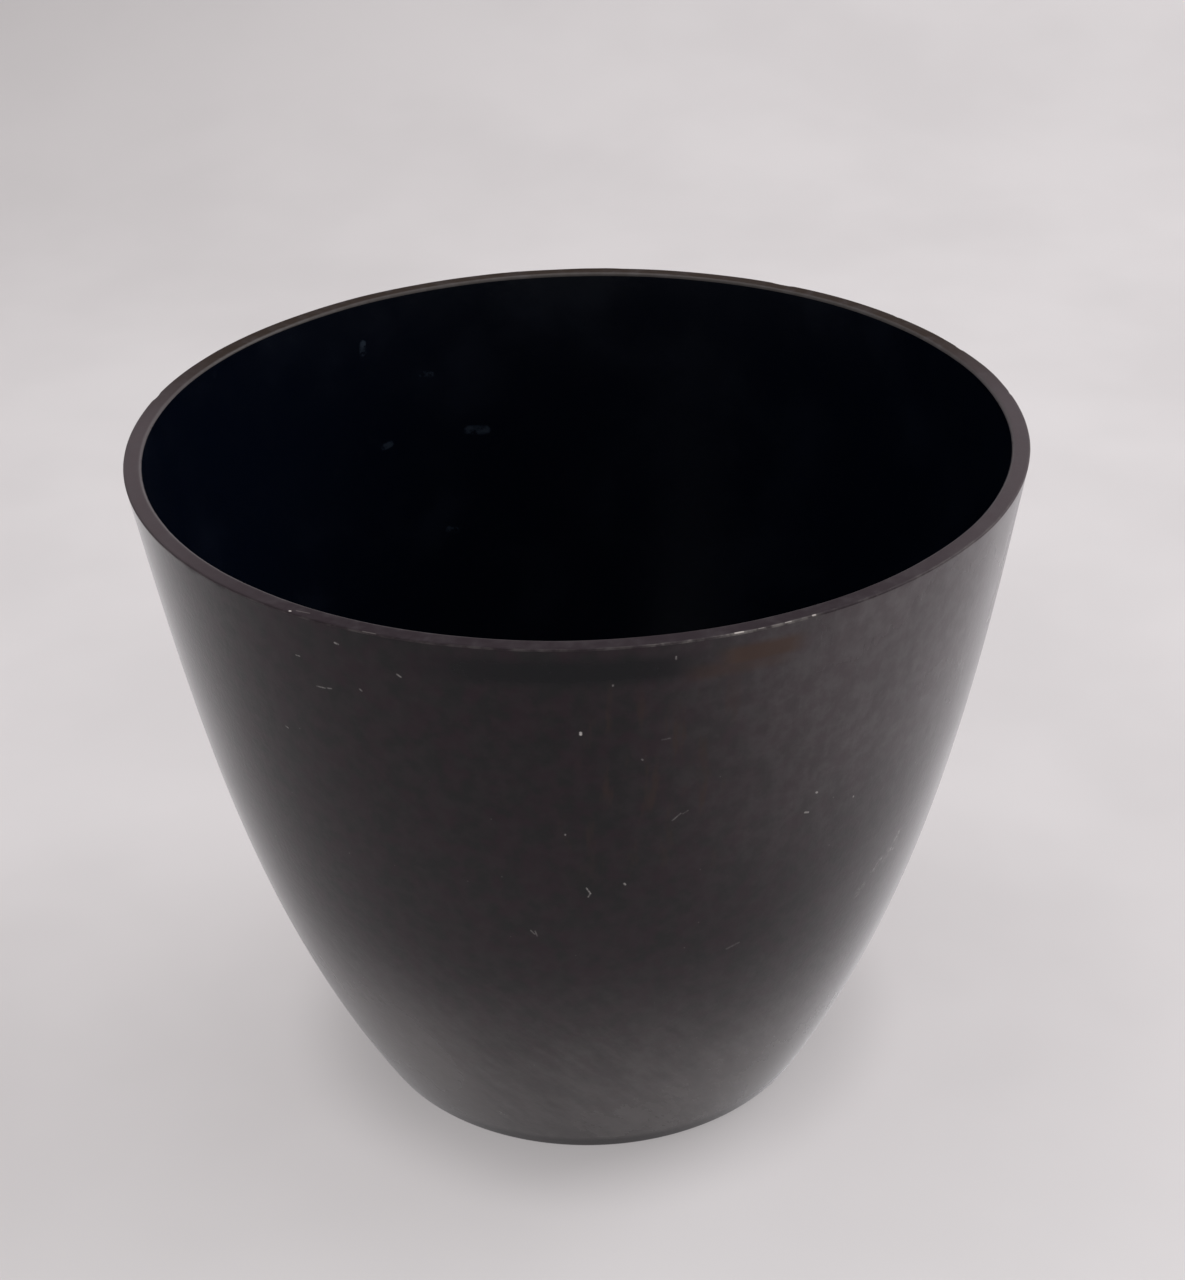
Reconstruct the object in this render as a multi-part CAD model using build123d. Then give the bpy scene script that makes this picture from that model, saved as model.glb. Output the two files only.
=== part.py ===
from build123d import *
import math
import os

# Mortar mixing tub: one thin-walled cup moulded in flexible black rubber.
# Millimetres. +Z is up and is the axis of the cup. The origin is the centre of the
# circle that the cup stands on, at the height of the surface under it.

# The outside of the cup
mouth_diameter = 125.0  # over the outer edge of the rim
base_diameter = 70.0  # where the side would meet the ground plane, before its rounding
height = 101.0
rim_lean = 8.2  # degrees that the side leans out from vertical, just under the rim
foot_lean = 28.0  # the same, just above the ground: the side is convex between the two

# The wall and the floor
wall_at_rim = 2.4  # measured level, so it is the width of the flat rim
wall_at_foot = 3.4
floor_thickness = 4.0  # from the ground plane to the inside floor

# Edges
rim_inner_round = 0.5
rim_outer_round = 0.2  # the outer edge of the rim is nearly sharp
floor_round = 9.0  # inside corner, round so that a spatula scrapes it clean
foot_round = 1.0

# The underside stands on a ring around a shallow hollow
foot_ring_width = 6.0
foot_hollow_depth = 1.0
foot_hollow_round = 0.6

mouth_radius = mouth_diameter / 2
base_radius = base_diameter / 2
foot_hollow_radius = base_radius - foot_round - foot_ring_width


def side_curve(foot_radius, rim_radius):
    """The convex curve of the side in the XZ plane, from the ground plane up to the rim."""
    third = height / 3
    foot_handle = foot_radius + third * math.tan(math.radians(foot_lean))
    rim_handle = rim_radius - third * math.tan(math.radians(rim_lean))
    return Bezier(
        (foot_radius, 0, 0),
        (foot_handle, 0, third),
        (rim_handle, 0, 2 * third),
        (rim_radius, 0, height),
    )


def turned(foot_radius, rim_radius):
    """The solid body inside one side curve, from the ground plane to the rim."""
    side = side_curve(foot_radius, rim_radius)
    closing = Polyline(side @ 1, (0, 0, height), (0, 0, 0), side @ 0)
    return revolve(make_face([side, closing]), Axis.Z)


def inside_space():
    """The space that holds the mortar: a body that stops at the floor, with a round corner."""
    space = turned(base_radius - wall_at_foot, mouth_radius - wall_at_rim)
    floor_slab = Pos(0, 0, floor_thickness / 2) * Cylinder(mouth_radius, floor_thickness)
    space -= floor_slab
    floor_edge = space.edges().group_by(Axis.Z)[0]
    return fillet(floor_edge, floor_round)


def foot_hollow():
    """The shallow hollow that leaves a ring for the cup to stand on."""
    centre_height = foot_hollow_depth / 2
    hollow = Pos(0, 0, centre_height) * Cylinder(foot_hollow_radius, foot_hollow_depth)
    return fillet(hollow.edges().group_by(Axis.Z)[-1], foot_hollow_round)


def mixing_tub():
    """The whole cup, with its rim and foot edges rounded."""
    cup = turned(base_radius, mouth_radius)
    foot_edge = cup.edges().group_by(Axis.Z)[0]
    cup = fillet(foot_edge, foot_round)
    cup -= inside_space()
    rim_edges = cup.edges().filter_by(GeomType.CIRCLE).group_by(Axis.Z)[-1].sort_by(SortBy.RADIUS)
    cup = fillet(rim_edges[-1], rim_outer_round)
    rim_inner_edge = cup.edges().filter_by(GeomType.CIRCLE).group_by(Axis.Z)[-1].sort_by(SortBy.RADIUS)[0]
    cup = fillet(rim_inner_edge, rim_inner_round)
    return cup - foot_hollow()


os.makedirs("parts", exist_ok=True)
export_step(mixing_tub(), "parts/mixing_tub.step")
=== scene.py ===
import math

import bpy
from mathutils import Matrix, Vector, noise


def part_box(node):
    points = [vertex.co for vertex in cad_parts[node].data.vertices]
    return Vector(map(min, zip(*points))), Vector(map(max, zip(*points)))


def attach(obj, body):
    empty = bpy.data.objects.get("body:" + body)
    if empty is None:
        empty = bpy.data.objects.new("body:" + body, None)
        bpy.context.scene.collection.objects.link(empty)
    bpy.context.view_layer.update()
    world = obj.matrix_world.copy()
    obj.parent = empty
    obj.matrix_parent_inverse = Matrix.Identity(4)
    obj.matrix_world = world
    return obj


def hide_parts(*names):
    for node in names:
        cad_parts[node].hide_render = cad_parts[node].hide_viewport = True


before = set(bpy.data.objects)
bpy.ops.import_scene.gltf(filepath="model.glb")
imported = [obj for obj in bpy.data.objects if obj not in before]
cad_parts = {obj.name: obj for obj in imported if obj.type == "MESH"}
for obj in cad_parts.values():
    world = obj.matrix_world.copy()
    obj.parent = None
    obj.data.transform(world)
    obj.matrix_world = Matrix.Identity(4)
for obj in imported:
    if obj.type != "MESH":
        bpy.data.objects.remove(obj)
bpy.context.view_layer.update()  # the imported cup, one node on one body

# ---------------------------------------------------------------- the cup
# Metres, +Z up, standing on z = 0 with its axis on Z. Azimuth 0 faces the camera.
MM = 0.001
CUP = "mixing_tub"
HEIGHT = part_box(CUP)[1].z
MOUTH_RADIUS = 62.5 * MM
BASE_RADIUS = 35 * MM
RIM_LEAN = math.radians(8.2)
FOOT_LEAN = math.radians(28)
WALL_AT_RIM = 2.4 * MM
WALL_AT_FOOT = 3.4 * MM
FLOOR_THICKNESS = 4 * MM
FLOOR_ROUND = 9 * MM
FOOT_ROUND = 1 * MM
FOOT_HOLLOW_RADIUS = 28 * MM
FOOT_HOLLOW_DEPTH = 1 * MM
FOOT_HOLLOW_ROUND = 0.6 * MM
RIM_INNER_ROUND = 0.5 * MM
RIM_OUTER_ROUND = 0.2 * MM

# How finely the cup is meshed
SECTORS = 480
SIDE_ROWS = 64

# How far the soft moulding is from a perfect round
WALL_WAVE = 0.22 * MM
RIM_WAVE = 0.10 * MM
RIM_WAVE_DEPTH = 9 * MM
BURR_HEIGHT = 0.07 * MM
NICK_DEPTH = 0.10 * MM

UNDERSIDE, OUTSIDE, RIM, INSIDE = range(4)  # material slots of the cup's mesh


class Side:
    """One convex side curve: radius and lean at any height."""

    def __init__(self, foot_radius, rim_radius):
        third = HEIGHT / 3
        self.radii = (
            foot_radius,
            foot_radius + third * math.tan(FOOT_LEAN),
            rim_radius - third * math.tan(RIM_LEAN),
            rim_radius,
        )

    def radius(self, z):
        t = z / HEIGHT
        a, b, c, d = self.radii
        return a * (1 - t) ** 3 + 3 * b * t * (1 - t) ** 2 + 3 * c * t * t * (1 - t) + d * t**3

    def lean(self, z):
        t = z / HEIGHT
        a, b, c, d = self.radii
        slope = 3 * ((b - a) * (1 - t) ** 2 + 2 * (c - b) * t * (1 - t) + (d - c) * t * t) / HEIGHT
        return math.atan(slope)

    def tangent_height(self, start, change):
        """The height z at which z = start + change * sin(lean at z)."""
        z = start
        for _ in range(20):
            z = start + change * math.sin(self.lean(z))
        return z


OUTER = Side(BASE_RADIUS, MOUTH_RADIUS)
INNER = Side(BASE_RADIUS - WALL_AT_FOOT, MOUTH_RADIUS - WALL_AT_RIM)


def arc(centre_r, centre_z, radius, start, end, steps):
    """Points round an arc in the (r, z) plane, angles in radians from +r."""
    angles = [start + (end - start) * k / steps for k in range(steps + 1)]
    return [(centre_r + radius * math.cos(a), centre_z + radius * math.sin(a)) for a in angles]


def straight(start, end, steps):
    """Points between start and end, without either."""
    return [
        (start[0] + (end[0] - start[0]) * k / steps, start[1] + (end[1] - start[1]) * k / steps)
        for k in range(1, steps)
    ]


def along_side(side, z_start, z_end, rows):
    """Points on a side curve between two heights, closer together near the two ends."""
    heights = [z_start + (z_end - z_start) * (1 - math.cos(math.pi * k / rows)) / 2 for k in range(1, rows)]
    return [(side.radius(z), z) for z in heights]


def cup_profile():
    """The whole section as rows of (r, z, slot), from the underside's centre to the floor's centre."""
    down = -math.pi / 2
    up = math.pi / 2

    hollow = arc(
        FOOT_HOLLOW_RADIUS - FOOT_HOLLOW_ROUND, FOOT_HOLLOW_DEPTH - FOOT_HOLLOW_ROUND,
        FOOT_HOLLOW_ROUND, up, 0, 5,
    )
    hollow_edge = (FOOT_HOLLOW_RADIUS, 0)
    foot_top = OUTER.tangent_height(FOOT_ROUND, -FOOT_ROUND)
    foot_lean = OUTER.lean(foot_top)
    foot = arc(
        OUTER.radius(foot_top) - FOOT_ROUND * math.cos(foot_lean), FOOT_ROUND,
        FOOT_ROUND, down, -foot_lean, 8,
    )
    underside = straight((0, FOOT_HOLLOW_DEPTH), hollow[0], 14) + hollow
    underside += [hollow_edge] + straight(hollow_edge, foot[0], 5)

    edge_low = OUTER.tangent_height(HEIGHT - RIM_OUTER_ROUND, -RIM_OUTER_ROUND)
    edge_lean = OUTER.lean(edge_low)
    outer_edge = arc(
        OUTER.radius(edge_low) - RIM_OUTER_ROUND * math.cos(edge_lean), HEIGHT - RIM_OUTER_ROUND,
        RIM_OUTER_ROUND, -edge_lean, up, 6,
    )
    lip_low = INNER.tangent_height(HEIGHT - RIM_INNER_ROUND, RIM_INNER_ROUND)
    lip_lean = INNER.lean(lip_low)
    inner_edge = arc(
        INNER.radius(lip_low) + RIM_INNER_ROUND * math.cos(lip_lean), HEIGHT - RIM_INNER_ROUND,
        RIM_INNER_ROUND, up, math.pi - lip_lean, 8,
    )
    rim_face = outer_edge + straight(outer_edge[-1], inner_edge[0], 5) + inner_edge

    corner_top = INNER.tangent_height(FLOOR_THICKNESS + FLOOR_ROUND, -FLOOR_ROUND)
    corner_lean = INNER.lean(corner_top)
    corner = arc(
        INNER.radius(corner_top) - FLOOR_ROUND * math.cos(corner_lean), FLOOR_THICKNESS + FLOOR_ROUND,
        FLOOR_ROUND, -corner_lean, down, 10,
    )
    inside_side = along_side(INNER, lip_low, corner_top, SIDE_ROWS)
    inside = inside_side + corner + straight(corner[-1], (0, FLOOR_THICKNESS), 12)
    outside = foot + along_side(OUTER, foot_top, edge_low, SIDE_ROWS)

    rows = []
    for points, slot in ((underside, UNDERSIDE), (outside, OUTSIDE), (rim_face, RIM), (inside, INSIDE)):
        rows += [(r, z, slot) for r, z in points]
    return rows


def fade(value, low, high):
    """0 below low, 1 above high, smooth between."""
    t = min(max((value - low) / (high - low), 0), 1)
    return t * t * (3 - 2 * t)


def around(azimuth, turns, z=0.0, seed=0.0):
    """Noise from -1 to 1 that closes on itself round the cup, with about that many waves."""
    reach = turns / math.tau * 2
    return noise.noise(Vector((math.cos(azimuth) * reach + seed, math.sin(azimuth) * reach, z)))


def moulded(azimuth, r, z):
    """Where a point of the perfect section lies on the real soft moulding, as (r, z)."""
    free = fade(z, 8 * MM, HEIGHT)
    wave = WALL_WAVE * free * (around(azimuth, 3, z * 14, 3.1) + 0.35 * around(azimuth, 9, z * 40, 8.4))
    near_rim = fade(z, HEIGHT - RIM_WAVE_DEPTH, HEIGHT)
    lift = RIM_WAVE * near_rim * (around(azimuth, 4, 0, 5.7) + 0.5 * around(azimuth, 15, 0, 1.9))
    return r + wave, z + lift


def rim_edge_wear(azimuth, r, z):
    """The burr and the small nicks of the rim's outer edge, as changes of (r, z)."""
    at_edge = fade(z, HEIGHT - 0.7 * MM, HEIGHT - 0.1 * MM)
    at_edge *= fade(r, MOUTH_RADIUS - 0.75 * MM, MOUTH_RADIUS - 0.25 * MM)
    burr = fade(around(azimuth, 22, 0, 12.3), -0.05, 0.45) * (0.6 + 0.4 * around(azimuth, 160, 0, 2.2))
    nick = fade(around(azimuth, 60, 0, 7.7), 0.42, 0.62)
    return (
        at_edge * (0.3 * BURR_HEIGHT * burr - NICK_DEPTH * nick),
        at_edge * (BURR_HEIGHT * burr - 0.5 * NICK_DEPTH * nick),
    )


def turned_mesh(name, rows):
    """Turns the section about Z into one closed mesh of quads, with a fan of triangles at each centre."""
    verts = [(0, 0, FOOT_HOLLOW_DEPTH)]
    for r, z, _ in rows:
        for k in range(SECTORS):
            azimuth = math.tau * k / SECTORS
            wavy_r, wavy_z = moulded(azimuth, r, z)
            edge_r, edge_z = rim_edge_wear(azimuth, r, z)
            radius = wavy_r + edge_r
            verts.append((radius * math.sin(azimuth), -radius * math.cos(azimuth), wavy_z + edge_z))
    verts.append((0, 0, FLOOR_THICKNESS))

    faces = []
    slots = []
    last = len(verts) - 1
    for k in range(SECTORS):
        following = (k + 1) % SECTORS
        faces.append((0, 1 + following, 1 + k))
        slots.append(UNDERSIDE)
        for row in range(len(rows) - 1):
            low = 1 + row * SECTORS
            high = low + SECTORS
            faces.append((low + k, low + following, high + following, high + k))
            slots.append(rows[row + 1][2])
        top = 1 + (len(rows) - 1) * SECTORS
        faces.append((top + k, top + following, last))
        slots.append(INSIDE)

    mesh = bpy.data.meshes.new(name)
    mesh.from_pydata(verts, [], faces)
    mesh.update()
    mesh.polygons.foreach_set("material_index", slots)
    mesh.polygons.foreach_set("use_smooth", [True] * len(faces))
    return mesh


# ---------------------------------------------------------------- materials
BUMP_STRENGTH = 0.6
HAZE_ROUGHNESS = 0.30  # the thin bloom on old rubber, seen at a grazing angle


class Nodes:
    """Short calls for building one material's nodes."""

    def __init__(self, name):
        self.material = bpy.data.materials.new(name)
        self.material.use_nodes = True
        self.tree = self.material.node_tree
        self.shader = self.tree.nodes["Principled BSDF"]
        self.point = self.make("ShaderNodeTexCoord").outputs["Object"]

    def make(self, kind, **settings):
        made = self.tree.nodes.new(kind)
        for key, setting in settings.items():
            setattr(made, key, setting)
        return made

    def plug(self, socket, source):
        if isinstance(source, bpy.types.NodeSocket):
            self.tree.links.new(source, socket)
        else:
            socket.default_value = source

    def math(self, operation, *sources, clamp=False):
        made = self.make("ShaderNodeMath", operation=operation, use_clamp=clamp)
        for socket, source in zip(made.inputs, sources):
            self.plug(socket, source)
        return made.outputs[0]

    def vector(self, operation, *sources):
        made = self.make("ShaderNodeVectorMath", operation=operation)
        for socket, source in zip(made.inputs, sources):
            self.plug(socket, source)
        return made.outputs["Value" if operation in ("LENGTH", "DOT_PRODUCT") else "Vector"]

    def scaled(self, vector, factors):
        return self.vector("MULTIPLY", vector, factors)

    def scaled_by(self, vector, factor):
        made = self.make("ShaderNodeVectorMath", operation="SCALE")
        self.plug(made.inputs["Vector"], vector)
        self.plug(made.inputs["Scale"], factor)
        return made.outputs["Vector"]

    def parts(self, vector):
        made = self.make("ShaderNodeSeparateXYZ")
        self.plug(made.inputs["Vector"], vector)
        return made.outputs

    def turned(self, vector, angle):
        """A vector turned about Z."""
        made = self.make("ShaderNodeVectorRotate", rotation_type="Z_AXIS")
        self.plug(made.inputs["Vector"], vector)
        self.plug(made.inputs["Angle"], angle)
        return made.outputs["Vector"]

    def noise(self, vector, scale, detail, roughness):
        made = self.make("ShaderNodeTexNoise")
        for key, source in (
            ("Vector", vector), ("Scale", scale), ("Detail", detail), ("Roughness", roughness),
        ):
            self.plug(made.inputs[key], source)
        return made.outputs["Fac"]

    def remap(self, source, low, high, to_low=0.0, to_high=1.0):
        """Goes smoothly from to_low at low to to_high at high, and stays level beyond them."""
        made = self.make("ShaderNodeMapRange", interpolation_type="SMOOTHSTEP")
        for key, value in (
            ("Value", source), ("From Min", low), ("From Max", high), ("To Min", to_low), ("To Max", to_high),
        ):
            self.plug(made.inputs[key], value)
        return made.outputs["Result"]

    def mix(self, share, first, second):
        """A colour that goes from first to second as share goes from 0 to 1."""
        made = self.make("ShaderNodeMix", data_type="RGBA")
        colour_a, colour_b = made.inputs[6:8]  # earlier sockets are for numbers and vectors
        self.plug(made.inputs["Factor"], share)
        self.plug(colour_a, first)
        self.plug(colour_b, second)
        return made.outputs[2]

    def bump(self, height, distance):
        made = self.make("ShaderNodeBump")
        self.plug(made.inputs["Height"], height)
        self.plug(made.inputs["Distance"], distance)
        self.plug(made.inputs["Strength"], BUMP_STRENGTH)
        return made.outputs["Normal"]

    def finish(self, colour, roughness, normal=None, gloss=0.5, haze=0.0):
        """Feeds the shader. gloss and haze hold for the whole material."""
        self.plug(self.shader.inputs["Specular IOR Level"], gloss)
        self.plug(self.shader.inputs["Sheen Weight"], haze)
        self.plug(self.shader.inputs["Sheen Roughness"], HAZE_ROUGHNESS)
        self.plug(self.shader.inputs["Sheen Tint"], rgb(0.88, 0.87, 0.88))
        self.plug(self.shader.inputs["Base Color"], colour)
        self.plug(self.shader.inputs["Roughness"], roughness)
        if normal:
            self.plug(self.shader.inputs["Normal"], normal)
        return self.material


def rgb(red, green, blue):
    return (red, green, blue, 1.0)


def moulded_point(azimuth, r, z):
    """The point of the soft moulding at an azimuth in degrees, from its place on the perfect section."""
    turn = math.radians(azimuth)
    r, z = moulded(turn, r, z)
    return Vector((r * math.sin(turn), -r * math.cos(turn), z))


def on_outside(azimuth, height):
    """A point of the outside, its height in mm."""
    return moulded_point(azimuth, OUTER.radius(height * MM), height * MM)


def on_inside(azimuth, height):
    """A point of the inside, its height in mm."""
    return moulded_point(azimuth, INNER.radius(height * MM), height * MM)


def on_rim(azimuth, inward):
    """A point of the rim's face, its distance from the outer edge in mm."""
    return moulded_point(azimuth, MOUTH_RADIUS - inward * MM, HEIGHT)


def capsule(n, first, last, width, strength):
    """A straight rub or a speck from one point to another, as a mask from 0 to strength."""
    along = last - first
    offset = n.vector("SUBTRACT", n.point, first)
    share = n.math("MULTIPLY", n.vector("DOT_PRODUCT", offset, along / along.length_squared), 1.0, clamp=True)
    offset = n.vector("SUBTRACT", offset, n.scaled_by(along, share))
    distance = n.vector("LENGTH", offset)
    return n.remap(distance, 0.15 * width * MM, 0.5 * width * MM, strength, 0.0)


def strokes(n, place, marks):
    """All of a list of marks as one mask, where place gives the points of their surface."""
    mask = 0.0
    for start, end, width, strength in marks:
        mask = n.math("MAXIMUM", mask, capsule(n, place(*start), place(*end), width, strength))
    return mask


def specks(n, per_metre, size):
    """Scattered round specks of lint."""
    cell = n.make("ShaderNodeTexVoronoi")
    n.plug(cell.inputs["Vector"], n.point)
    n.plug(cell.inputs["Scale"], per_metre)
    return n.remap(cell.outputs["Distance"], size * per_metre * 0.3, size * per_metre * 0.5, 1.0, 0.0)


# Marks: start and end as (azimuth in degrees, height in mm), width in mm, strength
PALE_MARKS = (
    ((-0.5, 88.4), (-0.5, 88.15), 0.52, 1.0),
    ((3.2, 95.5), (3.2, 95.4), 0.35, 0.35),
    ((-2.8, 71.9), (-2.8, 71.8), 0.35, 0.35),
    ((4.5, 62.9), (4.6, 62.7), 0.4, 0.6),
    ((6.5, 83.7), (6.6, 83.6), 0.35, 0.3),
    ((30.2, 71.9), (30.3, 71.8), 0.45, 0.5),
    ((29.4, 68.8), (28.9, 69.0), 0.45, 0.45),
    ((37, 68.2), (37, 68.1), 0.4, 0.4),
    ((-0.4, 62.4), (0.1, 61.4), 0.3, 0.5),
    ((0.1, 61.4), (-0.2, 60.8), 0.3, 0.35),
    ((10.4, 73.1), (11.4, 74.1), 0.32, 0.2),
    ((11.7, 74.0), (12.3, 74.4), 0.3, 0.12),
    ((19.9, 47.1), (21.7, 47.7), 0.5, 0.09),
    ((-28.5, 98.3), (-28.1, 98.2), 0.4, 0.5),
    ((-34.6, 94.5), (-34.1, 94.5), 0.3, 0.3),
    ((-32.4, 90.5), (-31.2, 90.6), 0.3, 0.3),
    ((-30.9, 90.7), (-30.3, 90.8), 0.3, 0.25),
    ((-21.1, 95.4), (-20.7, 95.1), 0.35, 0.35),
    ((-26.3, 91.9), (-26.1, 91.7), 0.35, 0.35),
    ((-39.4, 81.5), (-39.1, 81.4), 0.35, 0.25),
    ((8.8, 86.5), (9.7, 86.6), 0.35, 0.10),
    ((-8.2, 54.3), (-7.7, 53.6), 0.3, 0.2),
    ((-7.6, 54.2), (-7.4, 53.3), 0.28, 0.2),
    ((10.1, 98.9), (10.1, 98.5), 0.3, 0.35),
)
FAINT_RUBS = (
    ((51.3, 54), (50.9, 51.5), 2.2, 0.16),
    ((49.9, 52), (49.3, 50.3), 1.8, 0.13),
    ((47.9, 51.1), (46.6, 49.7), 2.0, 0.14),
    ((44.8, 47.9), (44.0, 46.8), 2.0, 0.11),
    ((-20.6, 8.6), (-20.1, 7.8), 2.2, 0.12),
)
INSIDE_MARKS = (
    ((-145.3, 94.5), (-145.0, 93.0), 1.5, 0.6),
    ((-156.2, 87), (-154.5, 87.4), 1.3, 0.4),
    ((-164.6, 76.3), (-161.5, 76.7), 2.0, 0.5),
    ((-147.5, 77.3), (-146.2, 77.0), 1.5, 0.4),
    ((-157.2, 60.5), (-155.9, 60.9), 1.5, 0.35),
)
# On the rim, the distance inward from its outer edge in mm takes the place of the height
RIM_MARKS = (
    ((-34.4, 0.35), (-34.3, 0.35), 0.4, 0.9),
    ((-33.8, 0.8), (-32.1, 1.1), 0.2, 0.14),
    ((16.7, 0.15), (17.6, 0.15), 0.35, 0.75),
    ((19.4, 0.1), (20.0, 0.1), 0.2, 0.3),
    ((22.6, 0.1), (23.3, 0.1), 0.25, 0.45),
    ((26.0, 0.1), (26.3, 0.1), 0.35, 0.7),
    ((7.2, 0.05), (8.2, 0.05), 0.2, 0.35),
    ((-24.6, 0.1), (-23.0, 0.1), 0.2, 0.2),
)


def turn_of(n, x, y):
    """The azimuth in degrees, from the front towards +X."""
    return n.math("MULTIPLY", n.math("ARCTAN2", x, n.math("MULTIPLY", y, -1.0)), 180 / math.pi)


def from_axis(n):
    """The distance from the cup's axis."""
    return n.vector("LENGTH", n.scaled(n.point, (1.0, 1.0, 0.0)))


def between(n, value, low, high, soft):
    """1 between low and high, fading out over soft on both sides."""
    return n.math("MULTIPLY", n.remap(value, low - soft, low), n.remap(value, high + soft, high))


def rubber_outside():
    n = Nodes("rubber_outside")
    x, y, z = n.parts(n.point)
    azimuth = turn_of(n, x, y)

    cloud = n.noise(n.point, 42, 4, 0.55)
    mottle = n.noise(n.point, 420, 3, 0.62)
    tint = n.noise(n.vector("ADD", n.point, (0.3, 0.1, 0.7)), 330, 2, 0.6)
    grain = n.noise(n.point, 1500, 3, 0.6)
    wiped_down = n.noise(n.scaled(n.point, (1.0, 1.0, 0.10)), 520, 3, 0.6)
    turned = n.turned(n.point, n.math("MULTIPLY", z, 14.0))
    wiped_across = n.noise(n.scaled(turned, (1.0, 1.0, 0.2)), 340, 4, 0.7)

    # Bare rubber, mottled mauve and grey-green
    bare = n.mix(n.remap(tint, 0.36, 0.64), rgb(0.0128, 0.0053, 0.0092), rgb(0.0062, 0.0060, 0.0068))
    bare = n.mix(n.remap(mottle, 0.35, 0.7, 0.0, 0.6), bare, rgb(0.017, 0.012, 0.0145))

    # Dust and painted reflection: a pale film, thick at the foot, thinner over the right-hand side, with both
    # sides fading out at the back. Part of it is real dusting, and part is a painted reflection of the pale
    # floor and of the light from the right
    right = n.remap(azimuth, 160, 85)
    left = n.remap(azimuth, -160, -85)
    foot_dust_and_reflection = n.remap(z, 52 * MM, 3 * MM)
    foot_dust_and_reflection = n.math("MULTIPLY", foot_dust_and_reflection, n.remap(wiped_across, 0.3, 0.7, 0.70, 1.10))
    side_dust_and_reflection = n.math("MULTIPLY", n.remap(azimuth, 0, 40), n.remap(z, 48 * MM, 90 * MM))
    side_dust_and_reflection = n.math("MULTIPLY", side_dust_and_reflection, n.remap(wiped_down, 0.3, 0.7, 0.88, 1.05))
    far_dust_and_reflection = n.math("MULTIPLY", n.remap(azimuth, 20, 60), n.remap(z, 25 * MM, 55 * MM, 0.0, 0.4))
    right_dust_and_reflection = n.math("MULTIPLY", n.math("MAXIMUM", side_dust_and_reflection, far_dust_and_reflection), right)
    low_left_dust_and_reflection = n.math("MULTIPLY", n.remap(azimuth, -12, -40, 0.0, 0.35), n.remap(z, 50 * MM, 25 * MM))
    low_left_dust_and_reflection = n.math("MULTIPLY", low_left_dust_and_reflection, left)
    dust_and_reflection = n.math("MAXIMUM", foot_dust_and_reflection, right_dust_and_reflection)
    dust_and_reflection = n.math("ADD", dust_and_reflection, low_left_dust_and_reflection, clamp=True)
    dust_and_reflection = n.math("MULTIPLY", dust_and_reflection, n.remap(cloud, 0.3, 0.65, 0.75, 1.0))
    # Painted shade: the pale film is left off the lowest few mm, so the bare rubber shows as a dark line
    # along the foot
    dust_and_reflection = n.math("MULTIPLY", dust_and_reflection, n.remap(z, 1.8 * MM, 3.4 * MM))
    dust_and_reflection_colour = n.mix(n.remap(z, 20 * MM, 60 * MM), rgb(0.099, 0.088, 0.087), rgb(0.066, 0.053, 0.057))
    dust_and_reflection_colour = n.mix(n.remap(mottle, 0.35, 0.7, 0.0, 0.35), dust_and_reflection_colour, rgb(0.12, 0.114, 0.114))
    colour = n.mix(dust_and_reflection, bare, dust_and_reflection_colour)

    # Faint brown wipes that run down to the right of the front
    wipes = n.math("MULTIPLY", n.remap(wiped_down, 0.52, 0.68), between(n, azimuth, 2, 14, 8))
    wipes = n.math("MULTIPLY", wipes, between(n, z, 72 * MM, 88 * MM, 12 * MM))
    colour = n.mix(n.math("MULTIPLY", wipes, 0.5), colour, rgb(0.030, 0.016, 0.011))

    # A brown smear of old mix under the rim, and a darker bluish band just under the rim to the left of it
    smear_height = between(n, z, 97.1 * MM, 98.3 * MM, 1.4 * MM)
    smear = n.math("MULTIPLY", between(n, azimuth, 17.5, 23.0, 3.5), smear_height)
    trail_height = between(n, z, 95.8 * MM, 96.4 * MM, 1.4 * MM)
    trail = n.math("MULTIPLY", between(n, azimuth, 13, 22, 3), trail_height)
    smear = n.math("MAXIMUM", smear, n.math("MULTIPLY", trail, 0.5))
    smear = n.math("MULTIPLY", smear, n.remap(cloud, 0.3, 0.6, 0.6, 1.0))
    colour = n.mix(n.math("MULTIPLY", smear, 0.8), colour, rgb(0.047, 0.023, 0.014))
    dark_band_under_rim = n.math("MULTIPLY", n.remap(azimuth, -24, -8), n.remap(azimuth, 16, 7))
    dark_band_under_rim = n.math("MULTIPLY", dark_band_under_rim, between(n, z, 96.8 * MM, 98.2 * MM, 2.2 * MM))
    colour = n.mix(n.math("MULTIPLY", dark_band_under_rim, 0.85), colour, rgb(0.0010, 0.0016, 0.0030))

    marks = strokes(n, on_outside, PALE_MARKS)
    marks = n.math("MULTIPLY", marks, n.remap(n.noise(n.point, 2600, 2, 0.6), 0.3, 0.6, 0.35, 1.0))
    rubs = strokes(n, on_outside, FAINT_RUBS)
    rubs = n.math("MULTIPLY", rubs, n.remap(n.noise(n.point, 1100, 4, 0.7), 0.42, 0.62))
    lint = n.math("MULTIPLY", specks(n, 240, 0.3 * MM), 0.08)
    marks = n.math("MAXIMUM", n.math("MAXIMUM", marks, rubs), lint)
    colour = n.mix(marks, colour, rgb(0.50, 0.47, 0.45))

    roughness = n.math("ADD", n.remap(cloud, 0.3, 0.7, 0.14, 0.20), n.math("MULTIPLY", dust_and_reflection, 0.12))
    roughness = n.math("ADD", roughness, n.math("MULTIPLY", marks, 0.4))
    normal = n.bump(grain, 0.03 * MM)
    return n.finish(colour, roughness, normal, 0.17, 0.55)


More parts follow.
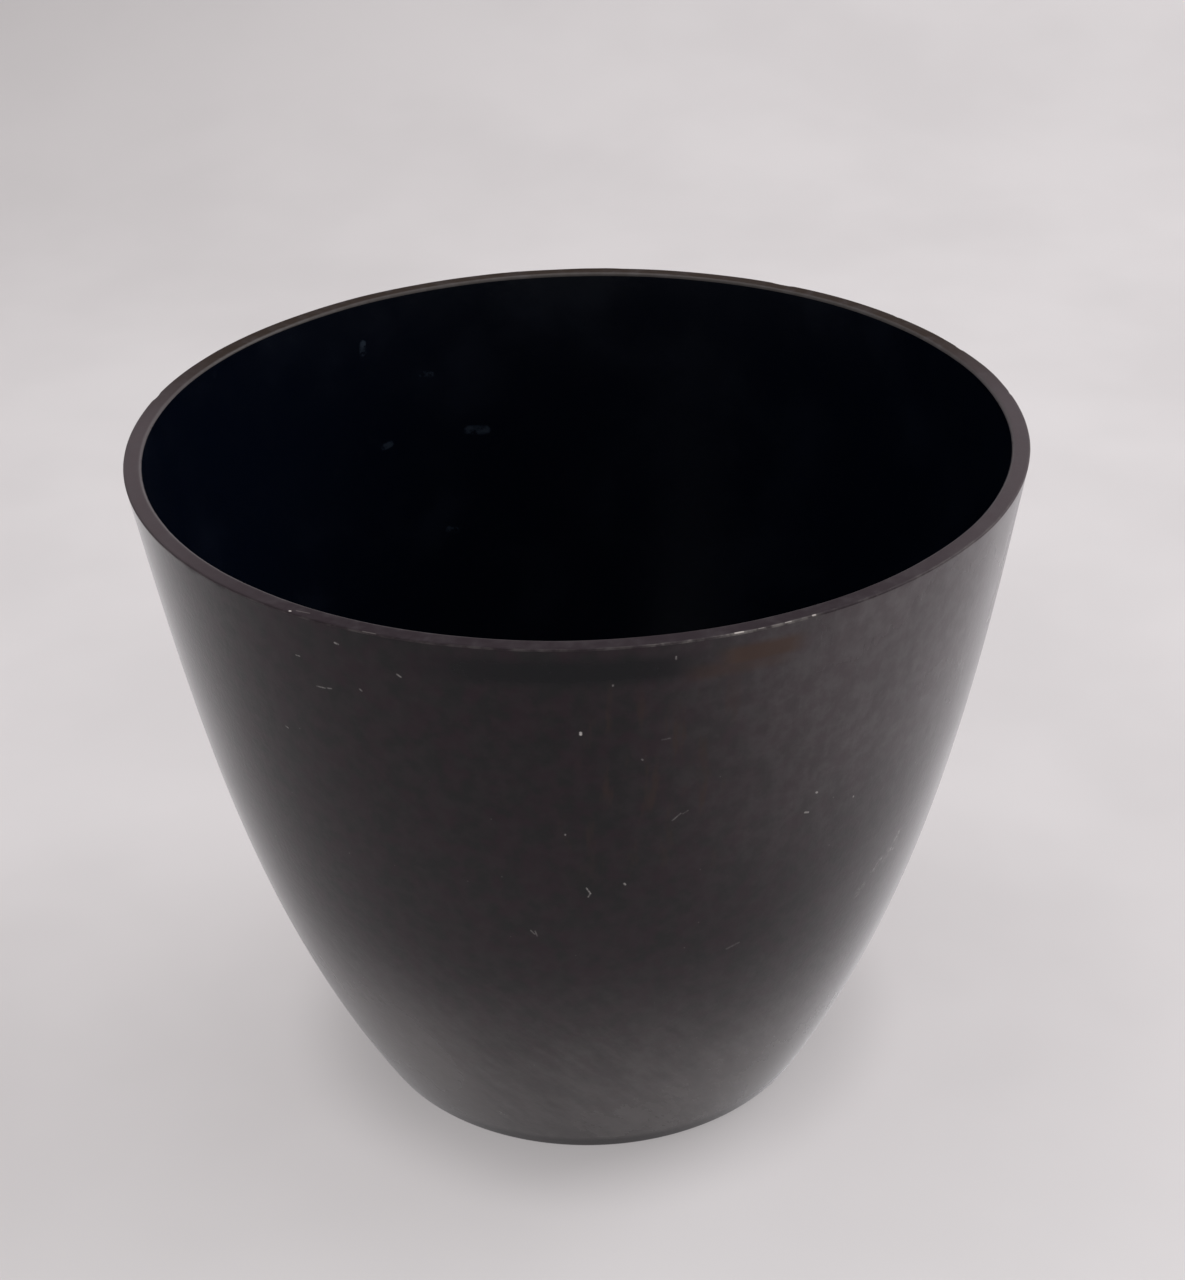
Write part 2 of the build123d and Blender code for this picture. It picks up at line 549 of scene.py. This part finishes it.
def rubber_rim():
    n = Nodes("rubber_rim")
    x, y, _ = n.parts(n.point)
    radius = from_axis(n)
    azimuth = turn_of(n, x, y)
    mottle = n.noise(n.point, 500, 3, 0.6)
    # Painted light and shade: the rim's face is darker and browner towards the back and lighter at both
    # sides, a painted reflection of the room
    colour = n.mix(n.remap(y, -30 * MM, 30 * MM), rgb(0.021, 0.0145, 0.018), rgb(0.018, 0.010, 0.006))
    side = n.math("MULTIPLY", n.remap(n.math("ABSOLUTE", x), 28 * MM, 64 * MM), n.remap(y, 35 * MM, 0))
    colour = n.mix(side, colour, rgb(0.062, 0.049, 0.053))
    colour = n.mix(n.remap(mottle, 0.4, 0.75, 0.0, 0.3), colour, rgb(0.075, 0.066, 0.070))

    # The outer edge is painted pale: a faint line all round is a painted highlight of the edge, and in
    # patches to the right of the front and to the left of it the edge is rubbed paler
    edge = n.remap(radius, MOUTH_RADIUS - 0.20 * MM, MOUTH_RADIUS - 0.04 * MM)
    right_patch = between(n, azimuth, 9, 24, 5.0)
    left_patch = n.math("MULTIPLY", between(n, azimuth, -28, -22, 4.0), 0.6)
    patch = n.math("MAXIMUM", n.math("MAXIMUM", right_patch, left_patch), 0.3)
    fray = n.remap(n.noise(n.point, 420, 3, 0.7), 0.40, 0.62, 0.15, 1.0)
    wear_and_highlight = n.math("MULTIPLY", edge, n.math("MULTIPLY", patch, fray))
    colour = n.mix(wear_and_highlight, colour, rgb(0.14, 0.126, 0.120))
    colour = n.mix(strokes(n, on_rim, RIM_MARKS), colour, rgb(0.52, 0.47, 0.44))
    # Painted highlight: the inner edge of the rim is painted paler, and it is made smoother there
    lip_highlight = n.remap(radius, MOUTH_RADIUS - WALL_AT_RIM + 0.50 * MM, MOUTH_RADIUS - WALL_AT_RIM + 0.10 * MM)
    colour = n.mix(n.math("MULTIPLY", lip_highlight, 0.25), colour, rgb(0.20, 0.19, 0.19))
    roughness = n.math("SUBTRACT", n.remap(mottle, 0.3, 0.7, 0.45, 0.55), n.math("MULTIPLY", lip_highlight, 0.2))
    normal = n.bump(n.noise(n.point, 900, 3, 0.6), 0.04 * MM)
    return n.finish(colour, roughness, normal, 0.06)


def shaded_rubber_inside():
    n = Nodes("shaded_rubber_inside")
    cloud = n.noise(n.point, 60, 4, 0.6)
    mottle = n.noise(n.point, 380, 3, 0.6)
    # Painted shade: the inside is coloured much darker and bluer than the same rubber outside
    colour = n.mix(n.remap(cloud, 0.5, 0.75), rgb(0.0007, 0.0016, 0.0046), rgb(0.0020, 0.0032, 0.0070))
    colour = n.mix(n.remap(mottle, 0.55, 0.8, 0.0, 0.5), colour, rgb(0.003, 0.004, 0.007))
    marks = strokes(n, on_inside, INSIDE_MARKS)
    scuff = n.remap(n.noise(n.point, 700, 3, 0.7), 0.35, 0.6)
    colour = n.mix(n.math("MULTIPLY", marks, scuff), colour, rgb(0.030, 0.040, 0.055))
    normal = n.bump(n.noise(n.point, 1200, 3, 0.6), 0.03 * MM)
    return n.finish(colour, n.remap(cloud, 0.3, 0.7, 0.18, 0.26), normal, 0.25)


def rubber_underside():
    n = Nodes("rubber_underside")
    cloud = n.noise(n.point, 90, 4, 0.6)
    colour = n.mix(n.remap(cloud, 0.35, 0.7), rgb(0.012, 0.011, 0.0105), rgb(0.035, 0.033, 0.031))
    normal = n.bump(n.noise(n.point, 700, 3, 0.6), 0.05 * MM)
    return n.finish(colour, n.remap(cloud, 0.3, 0.7, 0.42, 0.58), normal, 0.3)


def make_cup():
    mesh = turned_mesh("mixing_tub_detail", cup_profile())
    for material in (rubber_underside(), rubber_outside(), rubber_rim(), shaded_rubber_inside()):
        mesh.materials.append(material)
    cup = bpy.data.objects.new("mixing_tub_detail", mesh)
    bpy.context.scene.collection.objects.link(cup)
    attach(cup, "root")
    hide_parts(CUP)
    return cup


# ---------------------------------------------------------------- studio
EVEN_SHARE = 0.65  # how much of the floor, as the eye and the reflections see it, is even light
EVEN_LIGHT = 0.97
ROOM_LIGHT = 0.62


def pale_floor():
    """Pale and matt. The even share of what is seen keeps the shadow soft."""
    n = Nodes("pale_floor")
    x, y, _ = n.parts(n.point)
    cloud = n.noise(n.point, 14, 3, 0.5)
    colour = n.mix(n.remap(cloud, 0.3, 0.7), rgb(0.645, 0.612, 0.616), rgb(0.695, 0.66, 0.664))
    # Painted light and shade: the floor is painted darker far back and to the left, and lighter near the
    # front
    far = n.remap(y, 0.10, 0.60)
    left = n.remap(x, 0.10, -0.30, 0.25, 0.95)
    colour = n.mix(n.math("MULTIPLY", far, left), colour, rgb(0.43, 0.405, 0.405))
    near = n.remap(y, -0.01, -0.10, 0.0, 0.7)
    colour = n.mix(near, colour, rgb(0.75, 0.72, 0.722))
    # The even part has no shadow of its own, so the floor is shaded a little where the cup stands
    shade = n.remap(from_axis(n), BASE_RADIUS, BASE_RADIUS + 16 * MM, 0.72, 1.0)
    path = n.make("ShaderNodeLightPath").outputs
    seen = n.math("MAXIMUM", path["Is Camera Ray"], path["Is Glossy Ray"])
    glow = n.make("ShaderNodeEmission")
    n.plug(glow.inputs["Color"], colour)
    n.plug(glow.inputs["Strength"], n.math("MULTIPLY", shade, EVEN_LIGHT))
    blend = n.make("ShaderNodeMixShader")
    n.plug(blend.inputs[0], n.math("MULTIPLY", seen, EVEN_SHARE))
    n.tree.links.new(n.shader.outputs[0], blend.inputs[1])
    n.tree.links.new(glow.outputs[0], blend.inputs[2])
    n.tree.links.new(blend.outputs[0], n.tree.nodes["Material Output"].inputs[0])
    return n.finish(colour, 0.9)


def make_floor():
    """A pale sweep: a floor that curves up into the backdrop behind the cup."""
    half_width = 2.2
    front, back, top = -1.6, 0.75, 1.9
    bend = 0.45
    section = [(front, 0.0)]
    section += [
        (back - bend + bend * math.sin(a), bend - bend * math.cos(a))
        for a in (math.pi / 2 * k / 16 for k in range(17))
    ]
    section.append((back, top))
    verts = [(x, y, z) for y, z in section for x in (-half_width, half_width)]
    faces = [(2 * k, 2 * k + 1, 2 * k + 3, 2 * k + 2) for k in range(len(section) - 1)]
    mesh = bpy.data.meshes.new("floor")
    mesh.from_pydata(verts, [], faces)
    mesh.polygons.foreach_set("use_smooth", [True] * len(faces))
    mesh.materials.append(pale_floor())
    floor = bpy.data.objects.new("floor", mesh)
    bpy.context.scene.collection.objects.link(floor)


def make_light(name, place, target, size, power, colour=(1, 1, 1)):
    lamp = bpy.data.lights.new(name, "AREA")
    lamp.shape = "DISK"
    lamp.size = size
    lamp.energy = power
    lamp.color = colour
    light = bpy.data.objects.new(name, lamp)
    light.location = place
    light.rotation_euler = (Vector(target) - Vector(place)).to_track_quat("-Z", "Y").to_euler()
    bpy.context.scene.collection.objects.link(light)


def make_world():
    world = bpy.data.worlds.new("soft_room")
    world.use_nodes = True
    background = world.node_tree.nodes["Background"]
    background.inputs["Color"].default_value = rgb(0.97, 0.98, 1.0)
    background.inputs["Strength"].default_value = ROOM_LIGHT
    bpy.context.scene.world = world


def make_camera():
    """Close above the cup, looking down at it, tipped a little to the right."""
    distance = 292.6 * MM
    eye_height = 233.5 * MM
    turn = 0.0051
    down = 0.5186
    roll = -0.0266
    focal_length = 64.32
    lens = bpy.data.cameras.new("camera")
    lens.lens = focal_length
    camera = bpy.data.objects.new("camera", lens)
    camera.location = (0, -distance, eye_height)
    forward = Vector((math.sin(turn) * math.cos(down), math.cos(turn) * math.cos(down), -math.sin(down)))
    right = Vector((math.cos(turn), -math.sin(turn), 0))
    up = right.cross(forward)
    tipped_right = math.cos(roll) * right + math.sin(roll) * up
    tipped_up = -math.sin(roll) * right + math.cos(roll) * up
    camera.rotation_euler = Matrix((tipped_right, tipped_up, -forward)).transposed().to_euler()
    bpy.context.scene.collection.objects.link(camera)
    bpy.context.scene.camera = camera


make_cup()
make_floor()
make_world()
make_light("window_light", (1.1, 0.35, 0.9), (0, 0, 0.05), 0.9, 14, (0.97, 0.98, 1.0))
make_light("ceiling_light", (-0.3, 0.3, 1.5), (0, 0, 0.05), 1.2, 7)
make_camera()
bpy.context.scene.view_settings.view_transform = "Standard"
